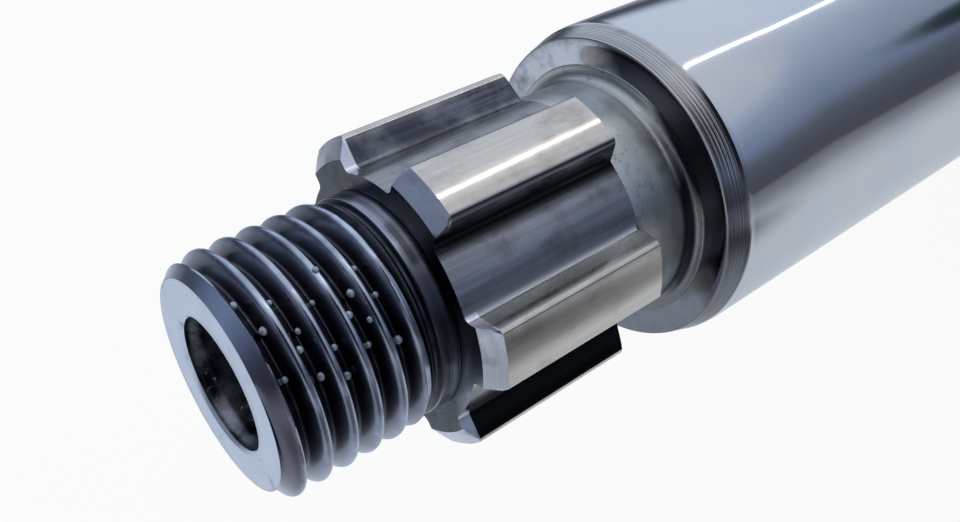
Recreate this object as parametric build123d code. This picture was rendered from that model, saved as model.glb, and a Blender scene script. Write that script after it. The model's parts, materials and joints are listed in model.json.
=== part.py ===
from build123d import *
import math
import os

# Ball screw with a splined, threaded drive end, a flanged ball nut with return tubes
# and a floating support bearing at the tail. Millimetres.
# The screw lies along +X, with the centre of its drive-end face at the origin. +Z is up.
# Turned pieces are drawn standing on Z and laid down onto X by lay_down(), which takes
# Z to X, X to Y and Y to Z.

# ---- drive end of the screw -------------------------------------------------------
COOLANT_BORE_DIA = 20.0
THREAD_DIA = 36.0            # M36 x 4 locknut thread, plain cylinder at its major diameter
THREAD_LENGTH = 22.5
THREAD_CHAMFER = 2.2
RUNOUT_DIA = 34.8            # band where the thread runs out
RUNOUT_LENGTH = 2.8
RELIEF_DIA = 31.6            # undercut in front of the spline
RELIEF_LENGTH = 2.7

SPLINE_TOOTH_COUNT = 6
SPLINE_ROOT_DIA = 40.0
SPLINE_TIP_DIA = 50.0
SPLINE_TOOTH_WIDTH = 10.0
SPLINE_LENGTH = 33.4         # at the root
SPLINE_TIP_BEVEL = 0.6
SPLINE_ROOT_FILLET = 1.2
SPLINE_LEAD_DEPTH = 3.0      # lead-in chamfer of the tooth fronts, radial
SPLINE_LEAD_LENGTH = 2.0
SPLINE_TAIL_SLOPE = 1.2      # how far the tooth backs lean over their height
SPLINE_PHASE = 51.0          # angle of one tooth from +Y towards +Z

NECK_LENGTH = 11.6
NECK_FLARE = 2.0             # cone in the corner of neck and shoulder
SHOULDER_DIA = 54.0
LAND_DIA = 56.5              # ground seat of the fixed bearing
LAND_TAPER_LENGTH = 5.7
LAND_LENGTH = 99.3

# ---- ball thread --------------------------------------------------------------------
LEAD = 20.0
BALL_DIA = 7.144
BALL_CIRCLE_DIA = 64.5
CREST_DROP = 1.0             # screw's crest below the ball circle, radial
BALL_THREAD_LENGTH = 260.0
BALL_THREAD_CONE = 7.0       # length of the cone from the land up to the ball thread
GROOVE_CONFORMITY = 1.06     # distance of a groove's flats from the ball centre, over ball radius
GROOVE_FLAT_ANGLE = 45.0     # between neighbouring flats of a groove
GROOVE_OVERSHOOT = 2.2       # how far the groove's cutter stands past the ball circle
THREAD_END_CHAMFER = 2.5

# ---- tail journal -------------------------------------------------------------------
TAIL_COLLAR_DIA = 50.0
TAIL_COLLAR_LENGTH = 13.0
JOURNAL_DIA = 40.0
JOURNAL_END_CHAMFER = 1.0
JOURNAL_RUN_PAST = 6.0       # journal beyond the inner ring

# ---- ball nut -----------------------------------------------------------------------
NUT_START = 272.0            # front face of the flange, from the drive-end face
NUT_LENGTH = 120.0
NUT_WALL = 23.75             # nut's outside over the ball circle, radial
NUT_BORE_CLEARANCE = 0.3     # radial, nut land over screw
NUT_FLANGE_LEDGE = 19.0      # flange past the nut's outside, radial
NUT_FLANGE_THICKNESS = 20.0
NUT_BOLT_COUNT = 6
NUT_BOLT_EDGE = 9.5          # bolt centres inside the flange's rim
NUT_BOLT_HOLE_DIA = 11.0
NUT_PILOT_LENGTH = 5.0       # seat behind the flange, a full circle at the nut's outside
NUT_RELIEF = 0.8             # rest of the nut below the pilot, radial
TUBE_FLAT_DROP = 14.0        # milled flat for the return tubes, below the nut's outside
TUBE_FLAT_REAR = 6.0         # flat's distance from the nut's end
CIRCUIT_COUNT = 2
CIRCUIT_TURNS = 1.5
CIRCUIT_PITCH_TURNS = 2.0
FIRST_CIRCUIT = 36.0         # first ball circuit, from the flange's front face
BALLS_PER_CIRCUIT = 14
BALL_ACROSS_FLATS = 0.86     # width over a ball's flats, over its diameter

# ---- return tubes and clamp -----------------------------------------------------------
TUBE_DIA = 9.2
TUBE_WALL = 0.8
TUBE_SEAT_CLEARANCE = 0.05
TUBE_RISE = 6.5              # tube centre above the flat
TUBE_CORNER_CUT = 4.0        # each bend is two mitres, this far from its corner
CLAMP_WIDTH = 20.0
CLAMP_SIDE_MARGIN = 5.0      # clamp past the outer sides of the tubes
CLAMP_SCREW_SPACING = 15.0
CLAMP_SCREW_DIA = 5.0
CLAMP_SCREW_LENGTH = 18.0
SCREW_HEAD_RATIO = 1.7       # head diameter over thread diameter
SCREW_SIDE_COUNT = 8         # sides of every small screw, head and shank

# ---- wipers ---------------------------------------------------------------------------
WIPER_WALL = 5.5
WIPER_WIDTH = 6.5
WIPER_CLEARANCE = 0.25       # radial, wiper over screw

# ---- snap ring on the journal ---------------------------------------------------------
SNAP_RING_WIDTH = 1.5
SNAP_RING_BITE = 1.5         # depth of the ring's groove
SNAP_RING_PROUD = 2.2        # how far it stands out of its groove
SNAP_RING_GAP = 9.0

# ---- grease fittings --------------------------------------------------------------------
GREASE_PORT_DIA = 8.0
GREASE_PORT_DEPTH = 10.0
PORT_SPARE_DEPTH = 2.0       # empty bottom of a port, below its nipple or plug
NIPPLE_HEX = 9.0
NIPPLE_HEX_HEIGHT = 4.0
NIPPLE_CONE_DIA = 6.5
NIPPLE_TIP_DIA = 2.2
NIPPLE_HEIGHT = 10.0
PLUG_SOCKET = 4.0            # across flats
PLUG_SOCKET_DEPTH = 4.0

# ---- support bearing: cylindrical rollers, plain inner ring so that the screw can float ----
BEARING_WIDTH = 18.0
INNER_RING_WALL = 4.75
OUTER_RING_WALL = 4.19
OUTER_RIB_HEIGHT = 2.31      # ribs that guide the rollers' ends, over the outer race
ROLLER_DIA = 11.0
ROLLER_LENGTH = 11.0
ROLLER_COUNT = 14
ROLLER_SIDE_COUNT = 12
ROLLER_CLEARANCE = 0.03      # radial, each side of a roller
ROLLER_END_CLEARANCE = 0.1
CAGE_RIB_CLEARANCE = 1.2     # radial, cage inside the ribs
CAGE_THICKNESS = 3.5
CAGE_POCKET_CLEARANCE = 0.15
CAGE_WIDTH = 16.0

# ---- support housing ----------------------------------------------------------------------
HOUSING_WALL = 12.0          # around the bearing
HOUSING_FLANGE_LEDGE = 10.0  # square flange past the housing's outside, at its flats
HOUSING_FLANGE_THICKNESS = 16.0
HOUSING_CORNER_RADIUS = 14.0
HOUSING_BOLT_COUNT = 4
HOUSING_BOLT_PHASE = 45.0    # bolts in the flange's corners, cover screws in line with them
HOUSING_BOLT_OFFSET = 15.0   # bolt centres past the housing's outside
HOUSING_BOLT_HOLE_DIA = 11.0
HOUSING_FRONT_WALL = 12.0    # from the front face to the bearing's shoulder
RIB_MARGIN = 1.5             # radial, from the ribs to the housing's wall and the cover's spigot
HOUSING_BEHIND_BEARING = 14.0
SEAL_WALL = 8.7
SEAL_WIDTH = 7.0
SEAL_CLEARANCE = 0.3         # radial, seal over the tail collar
COVER_THICKNESS = 8.0
COVER_STEP = 1.0             # cover inside the housing's outside, radial
COVER_OPENING_DIA = 26.0
COVER_SCREW_COUNT = 4
COVER_SCREW_DIA = 5.0
COVER_SCREW_LENGTH = 18.0

TOUCHING = 0.01              # points nearer than this are the same

# ---- sizes across the axis, worked out from the sizes above ---------------------------------
SCREW_DIA = BALL_CIRCLE_DIA - 2 * CREST_DROP
NUT_DIA = BALL_CIRCLE_DIA + 2 * NUT_WALL
NUT_FLANGE_DIA = NUT_DIA + 2 * NUT_FLANGE_LEDGE
NUT_BOLT_CIRCLE_DIA = NUT_FLANGE_DIA - 2 * NUT_BOLT_EDGE
TUBE_FLAT_HEIGHT = NUT_DIA / 2 - TUBE_FLAT_DROP
TUBE_HEIGHT = TUBE_FLAT_HEIGHT + TUBE_RISE
WIPER_DIA = SCREW_DIA + 2 * (WIPER_CLEARANCE + WIPER_WALL)
INNER_RACE_DIA = JOURNAL_DIA + 2 * INNER_RING_WALL
ROLLER_CIRCLE_RADIUS = INNER_RACE_DIA / 2 + ROLLER_CLEARANCE + ROLLER_DIA / 2
OUTER_RACE_RADIUS = ROLLER_CIRCLE_RADIUS + ROLLER_DIA / 2 + ROLLER_CLEARANCE
OUTER_RIB_DIA = 2 * (OUTER_RACE_RADIUS - OUTER_RIB_HEIGHT)
BEARING_OUTER_DIA = 2 * (OUTER_RACE_RADIUS + OUTER_RING_WALL)
CAGE_OUTER_DIA = OUTER_RIB_DIA - 2 * CAGE_RIB_CLEARANCE
CAGE_INNER_DIA = CAGE_OUTER_DIA - 2 * CAGE_THICKNESS
SEAL_DIA = TAIL_COLLAR_DIA + 2 * (SEAL_CLEARANCE + SEAL_WALL)
HOUSING_DIA = BEARING_OUTER_DIA + 2 * HOUSING_WALL
HOUSING_FLANGE_WIDTH = HOUSING_DIA + 2 * HOUSING_FLANGE_LEDGE
HOUSING_BOLT_CIRCLE_DIA = HOUSING_DIA + 2 * HOUSING_BOLT_OFFSET
COVER_SCREW_CIRCLE_DIA = BEARING_OUTER_DIA + HOUSING_WALL

# ---- places along the axis, worked out from the sizes above ---------------------------------
SPLINE_START = THREAD_LENGTH + RUNOUT_LENGTH + RELIEF_LENGTH
SPLINE_END = SPLINE_START + SPLINE_LENGTH
SHOULDER_X = SPLINE_END + NECK_LENGTH
LAND_START = SHOULDER_X + LAND_TAPER_LENGTH
LAND_END = LAND_START + LAND_LENGTH
BALL_THREAD_START = LAND_END + BALL_THREAD_CONE
BALL_THREAD_END = BALL_THREAD_START + BALL_THREAD_LENGTH
JOURNAL_START = BALL_THREAD_END + TAIL_COLLAR_LENGTH
BEARING_END = JOURNAL_START + BEARING_WIDTH
SCREW_END = BEARING_END + JOURNAL_RUN_PAST
NUT_END = NUT_START + NUT_LENGTH
FLANGE_BACK = NUT_START + NUT_FLANGE_THICKNESS
PILOT_END = FLANGE_BACK + NUT_PILOT_LENGTH
CIRCUIT_START = NUT_START + FIRST_CIRCUIT
CIRCUIT_LENGTH = CIRCUIT_TURNS * LEAD
CIRCUIT_PITCH = CIRCUIT_PITCH_TURNS * LEAD
BALL_CIRCLE_RADIUS = BALL_CIRCLE_DIA / 2
HOUSING_START = JOURNAL_START - HOUSING_FRONT_WALL
HOUSING_END = BEARING_END + HOUSING_BEHIND_BEARING

LAID_DOWN = Plane(origin=(0, 0, 0), x_dir=(0, 1, 0), z_dir=(1, 0, 0)).location
UP = (Align.CENTER, Align.CENTER, Align.MIN)
DOWN = (Align.CENTER, Align.CENTER, Align.MAX)


def lay_down(piece):
    """Take a piece drawn along Z onto the screw's axis, X."""
    return piece.moved(LAID_DOWN)


def disc(dia, start, length):
    """A round bar of this diameter from start along the axis."""
    return Pos(0, 0, start) * Cylinder(dia / 2, length, align=UP)


def turned(outline):
    """A turned solid from (radius, place along the axis) points."""
    points = [(0, radius, place) for radius, place in outline]
    return revolve(make_face(Polyline(*points, close=True)), Axis.Z)


def around(count, radius, phase=0.0):
    """Places on a circle about the axis, each turned to face outwards."""
    step = 360 / count
    return [Rot(0, 0, phase + step * i) * Pos(radius, 0, 0) for i in range(count)]


def raceway_turns(start, length, side):
    """Cutters for the helical ball groove, one for each turn: three flats around the balls.

    side is 1 for the nut's groove, outside the ball circle, and -1 for the screw's.
    The groove meets +Y at the first ball circuit, so screw and nut are always in phase.
    """
    deep = GROOVE_CONFORMITY * BALL_DIA / 2
    half_floor = deep * math.tan(math.radians(GROOVE_FLAT_ANGLE / 2))
    flank = (deep + GROOVE_OVERSHOOT) * math.tan(math.radians(GROOVE_FLAT_ANGLE))
    half_mouth = half_floor + flank
    floor = side * deep
    mouth = -side * GROOVE_OVERSHOOT
    outline = [(floor, -half_floor), (floor, half_floor), (mouth, half_mouth), (mouth, -half_mouth)]
    helix = Helix(pitch=LEAD, height=LEAD, radius=BALL_CIRCLE_RADIUS)
    section = Plane(origin=helix @ 0, x_dir=(1, 0, 0), z_dir=helix % 0)
    turn = sweep(section * make_face(Polyline(*outline, close=True)), path=helix, is_frenet=True)
    run_in = start - LEAD / 2
    phase = Rot(0, 0, 360 * (run_in - CIRCUIT_START) / LEAD)
    turn_count = math.ceil(length / LEAD) + 1
    return [Pos(0, 0, run_in + LEAD * i) * phase * turn for i in range(turn_count)]


# ---- the screw ------------------------------------------------------------------------------
def spline_section():
    """Straight-sided spline: root circle with parallel-sided teeth, bevelled and filleted."""
    tooth = Rectangle(SPLINE_TIP_DIA / 2, SPLINE_TOOTH_WIDTH, align=(Align.MIN, Align.CENTER))
    teeth = [place * tooth for place in around(SPLINE_TOOTH_COUNT, 0, SPLINE_PHASE)]
    profile = Circle(SPLINE_ROOT_DIA / 2) + teeth
    tip_radius = SPLINE_TIP_DIA / 2
    tips = [v for v in profile.vertices() if math.hypot(v.X, v.Y) > tip_radius - TOUCHING]
    profile = chamfer(tips, SPLINE_TIP_BEVEL)
    root_radius = SPLINE_ROOT_DIA / 2
    roots = [v for v in profile.vertices() if math.hypot(v.X, v.Y) < root_radius + TOUCHING]
    profile = fillet(roots, SPLINE_ROOT_FILLET)
    return profile & Circle(tip_radius)


def spline_envelope():
    """What the lathe leaves for the teeth: lead-in chamfer in front, sloped back."""
    tip = SPLINE_TIP_DIA / 2
    root = SPLINE_ROOT_DIA / 2
    return turned([
        (0, SPLINE_START),
        (tip - SPLINE_LEAD_DEPTH, SPLINE_START),
        (tip, SPLINE_START + SPLINE_LEAD_LENGTH),
        (tip, SPLINE_END - SPLINE_TAIL_SLOPE),
        (root, SPLINE_END),
        (0, SPLINE_END),
    ])


def screw_outline():
    """Turned outline of the screw, without the spline's teeth."""
    thread = THREAD_DIA / 2
    root = SPLINE_ROOT_DIA / 2
    land = LAND_DIA / 2
    crest = SCREW_DIA / 2
    collar = TAIL_COLLAR_DIA / 2
    journal = JOURNAL_DIA / 2
    groove = journal - SNAP_RING_BITE
    bore = COOLANT_BORE_DIA / 2
    return [
        (bore, 0),
        (thread - THREAD_CHAMFER, 0),
        (thread, THREAD_CHAMFER),
        (thread, THREAD_LENGTH),
        (RUNOUT_DIA / 2, THREAD_LENGTH + (THREAD_DIA - RUNOUT_DIA) / 2),
        (RUNOUT_DIA / 2, THREAD_LENGTH + RUNOUT_LENGTH),
        (RELIEF_DIA / 2, THREAD_LENGTH + RUNOUT_LENGTH + (RUNOUT_DIA - RELIEF_DIA) / 4),
        (RELIEF_DIA / 2, SPLINE_START),
        (root, SPLINE_START),
        (root, SHOULDER_X - NECK_FLARE),
        (root + NECK_FLARE, SHOULDER_X),
        (SHOULDER_DIA / 2, SHOULDER_X),
        (land, LAND_START),
        (land, LAND_END),
        (crest, BALL_THREAD_START),
        (crest, BALL_THREAD_END - THREAD_END_CHAMFER),
        (crest - THREAD_END_CHAMFER, BALL_THREAD_END),
        (collar, BALL_THREAD_END),
        (collar, JOURNAL_START),
        (journal, JOURNAL_START),
        (journal, BEARING_END),
        (groove, BEARING_END),
        (groove, BEARING_END + SNAP_RING_WIDTH),
        (journal, BEARING_END + SNAP_RING_WIDTH),
        (journal, SCREW_END - JOURNAL_END_CHAMFER),
        (journal - JOURNAL_END_CHAMFER, SCREW_END),
        (bore, SCREW_END),
    ]


def collar(inner_dia, outer_dia, start, width):
    """A plain ring about the axis."""
    return disc(outer_dia, start, width) - disc(inner_dia, start, width)


def make_screw():
    screw = turned(screw_outline())
    section = spline_section() - Circle(RELIEF_DIA / 2)
    teeth = extrude(Pos(0, 0, SPLINE_START) * section, SPLINE_LENGTH)
    screw += teeth & spline_envelope()
    return screw - raceway_turns(LAND_END, BALL_THREAD_END - LAND_END, -1)


# ---- the nut --------------------------------------------------------------------------------
def circuit_places():
    """Where each ball circuit starts along the axis."""
    return [CIRCUIT_START + CIRCUIT_PITCH * i for i in range(CIRCUIT_COUNT)]


def tube_points(start):
    """Centre line of a return tube: up one leg, across the flat, down the other leg.

    A leg leaves the raceway along its tangent and ends clear of the screw.
    """
    side = BALL_CIRCLE_RADIUS
    end = start + CIRCUIT_LENGTH
    clear_radius = SCREW_DIA / 2 + NUT_BORE_CLEARANCE
    foot = math.sqrt(clear_radius ** 2 - (side - TUBE_DIA / 2) ** 2)
    return [
        (side, foot, start),
        (side, TUBE_HEIGHT, start),
        (-side, TUBE_HEIGHT, end),
        (-side, foot, end),
    ]


def cut_corners(points):
    """The same line with each corner cut back along both of its sides."""
    line = [Vector(*point) for point in points]
    cut = [line[0]]
    for before, corner, after in zip(line, line[1:], line[2:]):
        cut.append(corner + (before - corner).normalized() * TUBE_CORNER_CUT)
        cut.append(corner + (after - corner).normalized() * TUBE_CORNER_CUT)
    return cut + [line[-1]]


def make_return_tube(start):
    path = Polyline(*cut_corners(tube_points(start)))
    mouth = Plane(origin=path @ 0, z_dir=path % 0)
    outside = sweep(mouth * Circle(TUBE_DIA / 2), path=path, transition=Transition.RIGHT)
    inside = sweep(mouth * Circle(TUBE_DIA / 2 - TUBE_WALL), path=path, transition=Transition.RIGHT)
    return outside - inside


def tube_seats():
    """Drillings for the legs of the return tubes, down to the raceway."""
    seats = []
    radius = TUBE_DIA / 2 + TUBE_SEAT_CLEARANCE
    for start in circuit_places():
        for side, place in ((1, start), (-1, start + CIRCUIT_LENGTH)):
            mouth = Plane(origin=(side * BALL_CIRCLE_RADIUS, 0, place), z_dir=(0, 1, 0))
            seats.append(mouth * Cylinder(radius, NUT_DIA / 2, align=UP))
    return seats


def make_nut():
    bore = SCREW_DIA / 2 + NUT_BORE_CLEARANCE
    nut = turned([
        (bore, NUT_START),
        (NUT_FLANGE_DIA / 2, NUT_START),
        (NUT_FLANGE_DIA / 2, FLANGE_BACK),
        (NUT_DIA / 2, FLANGE_BACK),
        (NUT_DIA / 2, PILOT_END),
        (NUT_DIA / 2 - NUT_RELIEF, PILOT_END),
        (NUT_DIA / 2 - NUT_RELIEF, NUT_END),
        (bore, NUT_END),
    ])
    nut -= raceway_turns(NUT_START, NUT_LENGTH, 1)
    for start in wiper_places():
        nut -= disc(WIPER_DIA, start, WIPER_WIDTH)

    flat_length = NUT_END - TUBE_FLAT_REAR - PILOT_END
    above = (Align.CENTER, Align.MIN, Align.MIN)
    nut -= Pos(0, TUBE_FLAT_HEIGHT, PILOT_END) * Box(NUT_DIA, NUT_DIA, flat_length, align=above)
    nut -= tube_seats()
    nut -= clamp_screw_holes()

    for place in around(NUT_BOLT_COUNT, NUT_BOLT_CIRCLE_DIA / 2):
        nut -= place * disc(NUT_BOLT_HOLE_DIA, NUT_START, NUT_FLANGE_THICKNESS)
    for side in (1, -1):
        nut -= grease_port(side) * Cylinder(GREASE_PORT_DIA / 2, GREASE_PORT_DEPTH, align=DOWN)
    return nut


def ball():
    """A ball in 14 flats: a cube with its corners cut off."""
    across = BALL_ACROSS_FLATS * BALL_DIA
    body = Box(across, across, across)
    lean = math.degrees(math.atan(math.sqrt(2)))
    slab = Box(2 * BALL_DIA, 2 * BALL_DIA, across)
    for quarter in range(4):
        body &= Rot(0, 0, 45 + 90 * quarter) * Rot(0, lean, 0) * slab
    return body


def make_ball_train(start):
    """Balls spaced along the loaded turns of one circuit."""
    one = ball()
    step = CIRCUIT_TURNS * 360 / (BALLS_PER_CIRCUIT - 1)
    balls = []
    for i in range(BALLS_PER_CIRCUIT):
        angle = step * i
        place = start + LEAD * angle / 360
        turn = 360 * (start - CIRCUIT_START) / LEAD + angle
        balls.append(Rot(0, 0, turn) * Pos(BALL_CIRCLE_RADIUS, 0, place) * one)
    return Part() + balls


# ---- clamp over the return tubes --------------------------------------------------------------
def clamp_middle():
    return CIRCUIT_START + (CIRCUIT_PITCH * (CIRCUIT_COUNT - 1) + CIRCUIT_LENGTH) / 2


def clamp_screw_places():
    middle = clamp_middle()
    half = CLAMP_SCREW_SPACING / 2
    return [Plane(origin=(0, NUT_DIA / 2, middle + s * half), z_dir=(0, 1, 0)) for s in (-1, 1)]


def clamp_screw_holes():
    hole = Cylinder(CLAMP_SCREW_DIA / 2, CLAMP_SCREW_LENGTH, align=DOWN)
    return [place * hole for place in clamp_screw_places()]


def make_tube_clamp():
    """Block on the flat, flush with the nut's outside, saddled over both tubes."""
    half_span = CIRCUIT_PITCH * (CIRCUIT_COUNT - 1) / 2
    half_length = half_span + TUBE_DIA / 2 + CLAMP_SIDE_MARGIN
    height = NUT_DIA / 2 - TUBE_FLAT_HEIGHT
    on_flat = (Align.CENTER, Align.MIN, Align.CENTER)
    seat = Pos(0, TUBE_FLAT_HEIGHT, clamp_middle())
    block = seat * Box(CLAMP_WIDTH, height, 2 * half_length, align=on_flat)
    lean = math.degrees(math.atan2(CIRCUIT_LENGTH, BALL_CIRCLE_DIA))
    radius = TUBE_DIA / 2 + TUBE_SEAT_CLEARANCE
    along = 3 * CLAMP_WIDTH
    channel = Rot(0, 90, 0) * Cylinder(radius, along)
    channel += Box(along, TUBE_RISE, 2 * radius, align=(Align.CENTER, Align.MAX, Align.CENTER))
    for start in circuit_places():
        block -= Pos(0, TUBE_HEIGHT, start + CIRCUIT_LENGTH / 2) * Rot(0, lean, 0) * channel
    return block - clamp_screw_holes()


def small_screw(dia, length):
    """Cap screw in flats, its head's seat at Z = 0 and its shank downwards."""
    head = extrude(RegularPolygon(SCREW_HEAD_RATIO * dia / 2, SCREW_SIDE_COUNT), dia)
    return head + extrude(RegularPolygon(dia / 2, SCREW_SIDE_COUNT), -length)


# ---- wipers ------------------------------------------------------------------------------------
def wiper_places():
    return [NUT_START, NUT_END - WIPER_WIDTH]


def make_wiper(start):
    """Plastic ring, pressed into the nut's end, whose edge runs over the screw's crests."""
    return collar(SCREW_DIA + 2 * WIPER_CLEARANCE, WIPER_DIA, start, WIPER_WIDTH)


# ---- grease fittings ------------------------------------------------------------------------
def grease_port(side):
    """Plane on the flange's rim, above (1) or below (-1) the axis, facing outwards."""
    middle = NUT_START + NUT_FLANGE_THICKNESS / 2
    rim = NUT_FLANGE_DIA / 2
    return Plane(origin=(0, side * rim, middle), z_dir=(0, side, 0))


def make_grease_nipple():
    shank = Cylinder(GREASE_PORT_DIA / 2, GREASE_PORT_DEPTH - PORT_SPARE_DEPTH, align=DOWN)
    hexagon = extrude(RegularPolygon(NIPPLE_HEX / 2, 6, major_radius=False), NIPPLE_HEX_HEIGHT)
    cone = Cone(NIPPLE_CONE_DIA / 2, NIPPLE_TIP_DIA / 2, NIPPLE_HEIGHT - NIPPLE_HEX_HEIGHT, align=UP)
    return grease_port(1) * (shank + hexagon + Pos(0, 0, NIPPLE_HEX_HEIGHT) * cone)


def make_port_plug():
    depth = GREASE_PORT_DEPTH - PORT_SPARE_DEPTH
    plug = Cylinder(GREASE_PORT_DIA / 2, depth, align=DOWN)
    hexagon = RegularPolygon(PLUG_SOCKET / 2, 6, major_radius=False)
    socket = extrude(hexagon, -PLUG_SOCKET_DEPTH)
    return grease_port(-1) * (plug - socket)


# ---- support bearing -------------------------------------------------------------------------
def make_inner_ring():
    return collar(JOURNAL_DIA, INNER_RACE_DIA, JOURNAL_START, BEARING_WIDTH)


def make_outer_ring():
    ring = collar(OUTER_RIB_DIA, BEARING_OUTER_DIA, JOURNAL_START, BEARING_WIDTH)
    track = ROLLER_LENGTH + 2 * ROLLER_END_CLEARANCE
    track_start = JOURNAL_START + (BEARING_WIDTH - track) / 2
    return ring - disc(2 * OUTER_RACE_RADIUS, track_start, track)


def make_rollers():
    start = JOURNAL_START + (BEARING_WIDTH - ROLLER_LENGTH) / 2
    roller = extrude(Pos(0, 0, start) * RegularPolygon(ROLLER_DIA / 2, ROLLER_SIDE_COUNT), ROLLER_LENGTH)
    return Part() + [place * roller for place in around(ROLLER_COUNT, ROLLER_CIRCLE_RADIUS)]


def make_cage():
    """Ring in flats, two to a roller, with a window for each roller."""
    start = JOURNAL_START + (BEARING_WIDTH - CAGE_WIDTH) / 2
    outside = RegularPolygon(CAGE_OUTER_DIA / 2, 2 * ROLLER_COUNT)
    inside = RegularPolygon(CAGE_INNER_DIA / 2, 2 * ROLLER_COUNT)
    cage = extrude(Pos(0, 0, start) * (outside - inside), CAGE_WIDTH)
    across = ROLLER_DIA + 2 * CAGE_POCKET_CLEARANCE
    along = ROLLER_LENGTH + 2 * CAGE_POCKET_CLEARANCE
    window = Pos(0, 0, JOURNAL_START + BEARING_WIDTH / 2) * Box(across, across, along)
    return cage - [place * window for place in around(ROLLER_COUNT, ROLLER_CIRCLE_RADIUS)]


def make_journal_ring():
    """Sprung ring in the journal's groove, with a gap above."""
    floor = JOURNAL_DIA - 2 * SNAP_RING_BITE
    outer = JOURNAL_DIA + 2 * SNAP_RING_PROUD
    ring = collar(floor, outer, BEARING_END, SNAP_RING_WIDTH)
    slot = Box(SNAP_RING_GAP, outer, SNAP_RING_WIDTH, align=(Align.CENTER, Align.MIN, Align.MIN))
    return ring - Pos(0, 0, BEARING_END) * slot


# ---- support housing ---------------------------------------------------------------------------
def cover_screw_places():
    return around(COVER_SCREW_COUNT, COVER_SCREW_CIRCLE_DIA / 2, HOUSING_BOLT_PHASE)


def make_housing():
    housing = disc(HOUSING_DIA, HOUSING_START, HOUSING_END - HOUSING_START)
    square = RectangleRounded(HOUSING_FLANGE_WIDTH, HOUSING_FLANGE_WIDTH, HOUSING_CORNER_RADIUS)
    housing += extrude(Pos(0, 0, HOUSING_START) * square, HOUSING_FLANGE_THICKNESS)
    housing -= disc(SEAL_DIA, HOUSING_START, SEAL_WIDTH)
    housing -= disc(OUTER_RIB_DIA - 2 * RIB_MARGIN, HOUSING_START, HOUSING_FRONT_WALL)
    housing -= disc(BEARING_OUTER_DIA, JOURNAL_START, HOUSING_END - JOURNAL_START)
    bolt_circle = HOUSING_BOLT_CIRCLE_DIA / 2
    for place in around(HOUSING_BOLT_COUNT, bolt_circle, HOUSING_BOLT_PHASE):
        housing -= place * disc(HOUSING_BOLT_HOLE_DIA, HOUSING_START, HOUSING_FLANGE_THICKNESS)
    hole_depth = COVER_SCREW_LENGTH - COVER_THICKNESS
    for place in cover_screw_places():
        housing -= place * disc(COVER_SCREW_DIA, HOUSING_END - hole_depth, hole_depth)
    return housing


def make_seal():
    return collar(TAIL_COLLAR_DIA + 2 * SEAL_CLEARANCE, SEAL_DIA, HOUSING_START, SEAL_WIDTH)


def make_cover():
    """End cover with a hollow spigot that holds the bearing's outer ring."""
    cover = disc(HOUSING_DIA - 2 * COVER_STEP, HOUSING_END, COVER_THICKNESS)
    spigot_inner_dia = OUTER_RIB_DIA + 2 * RIB_MARGIN
    cover += collar(spigot_inner_dia, BEARING_OUTER_DIA, BEARING_END, HOUSING_BEHIND_BEARING)
    cover -= disc(COVER_OPENING_DIA, HOUSING_END, COVER_THICKNESS)
    for place in cover_screw_places():
        cover -= place * disc(COVER_SCREW_DIA, HOUSING_END, COVER_THICKNESS)
    return cover


def make_cover_screws():
    seat = Pos(0, 0, HOUSING_END + COVER_THICKNESS)
    screw = small_screw(COVER_SCREW_DIA, COVER_SCREW_LENGTH)
    return Part() + [place * seat * screw for place in cover_screw_places()]


def make_clamp_screws():
    screw = small_screw(CLAMP_SCREW_DIA, CLAMP_SCREW_LENGTH)
    return Part() + [place * screw for place in clamp_screw_places()]


# ---- write every piece ---------------------------------------------------------------------------
def all_pieces():
    pieces = {
        "screw_shaft": make_screw(),
        "nut_body": make_nut(),
        "tube_clamp": make_tube_clamp(),
        "tube_clamp_screws": make_clamp_screws(),
        "grease_nipple": make_grease_nipple(),
        "grease_port_plug": make_port_plug(),
        "bearing_inner_ring": make_inner_ring(),
        "bearing_outer_ring": make_outer_ring(),
        "bearing_cage": make_cage(),
        "bearing_rollers": make_rollers(),
        "journal_snap_ring": make_journal_ring(),
        "support_housing": make_housing(),
        "housing_seal": make_seal(),
        "support_cover": make_cover(),
        "cover_screws": make_cover_screws(),
    }
    for name, start in zip(("front", "rear"), circuit_places()):
        pieces[f"ball_train_{name}"] = make_ball_train(start)
        pieces[f"return_tube_{name}"] = make_return_tube(start)
    for name, start in zip(("front", "rear"), wiper_places()):
        pieces[f"wiper_{name}"] = make_wiper(start)
    return pieces


os.makedirs("parts", exist_ok=True)
for node, piece in all_pieces().items():
    export_step(lay_down(piece), f"parts/{node}.step")
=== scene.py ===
import json
import math
import random

import bmesh
import bpy
from mathutils import Matrix, Vector


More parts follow.
